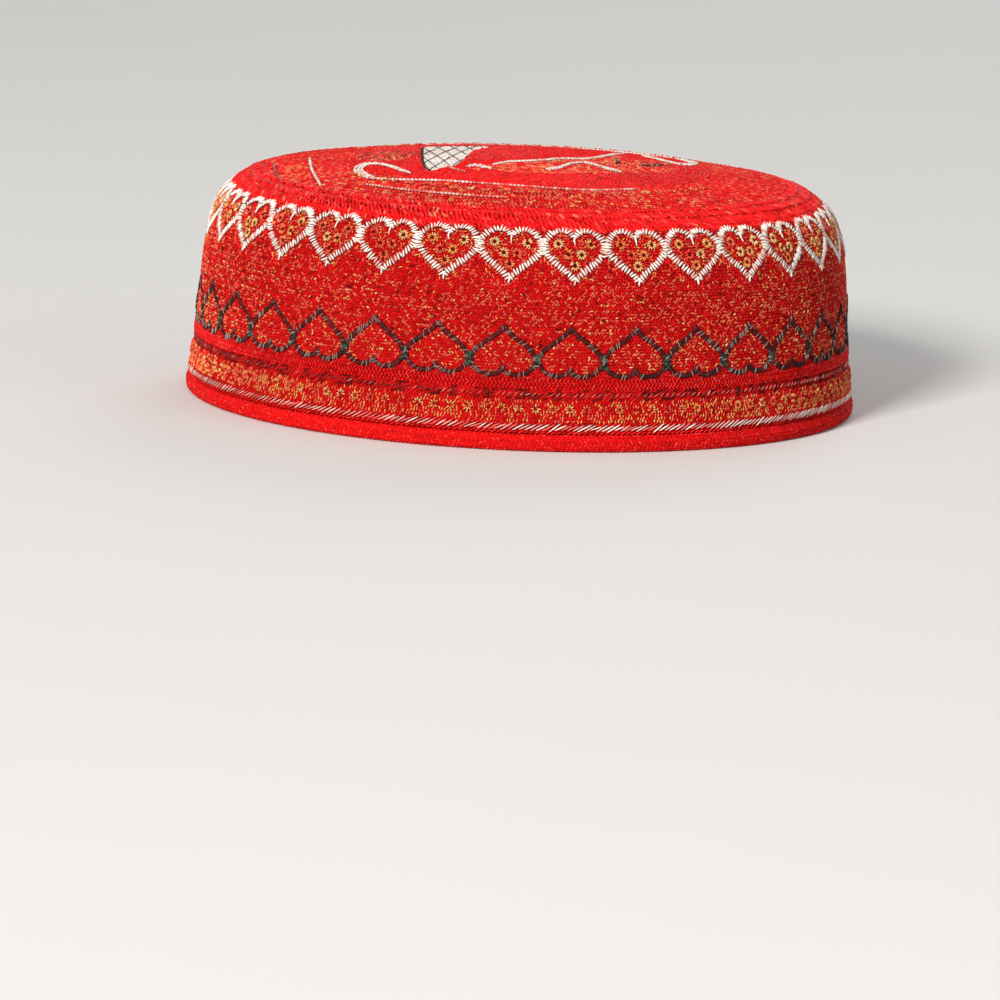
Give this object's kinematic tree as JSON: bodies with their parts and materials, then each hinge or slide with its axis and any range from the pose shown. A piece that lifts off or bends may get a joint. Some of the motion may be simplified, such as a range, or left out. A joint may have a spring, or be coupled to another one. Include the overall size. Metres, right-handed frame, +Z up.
{
  "type": "embroidered kufi cap",
  "caption": "Round brimless embroidered cap: stiff upright side band, gently domed crown, corded welt where they meet and a rolled hem round the open head hollow.",
  "frame": {"origin": "centre of the circle that the rolled hem stands on", "axes": "+Z up through the middle of the crown, -X towards the front of the wearer, +Y to the wearer's right"},
  "size_m": [0.1934, 0.1934, 0.0696],
  "materials": {
    "band_embroidery": "dense red embroidery speckled with gold thread, with white and dark heart outlines",
    "crown_embroidery": "red rope rows and speckled rings with pale scroll lines",
    "welt_thread": "bright red slanted satin stitches over a cord",
    "hem_cloth": "smooth red rolled cloth"
  },
  "bodies": {
    "root": {"side_band": "band_embroidery", "crown_top": "crown_embroidery", "crown_welt": "welt_thread", "rim_hem": "hem_cloth"}
  },
  "joints": []
}
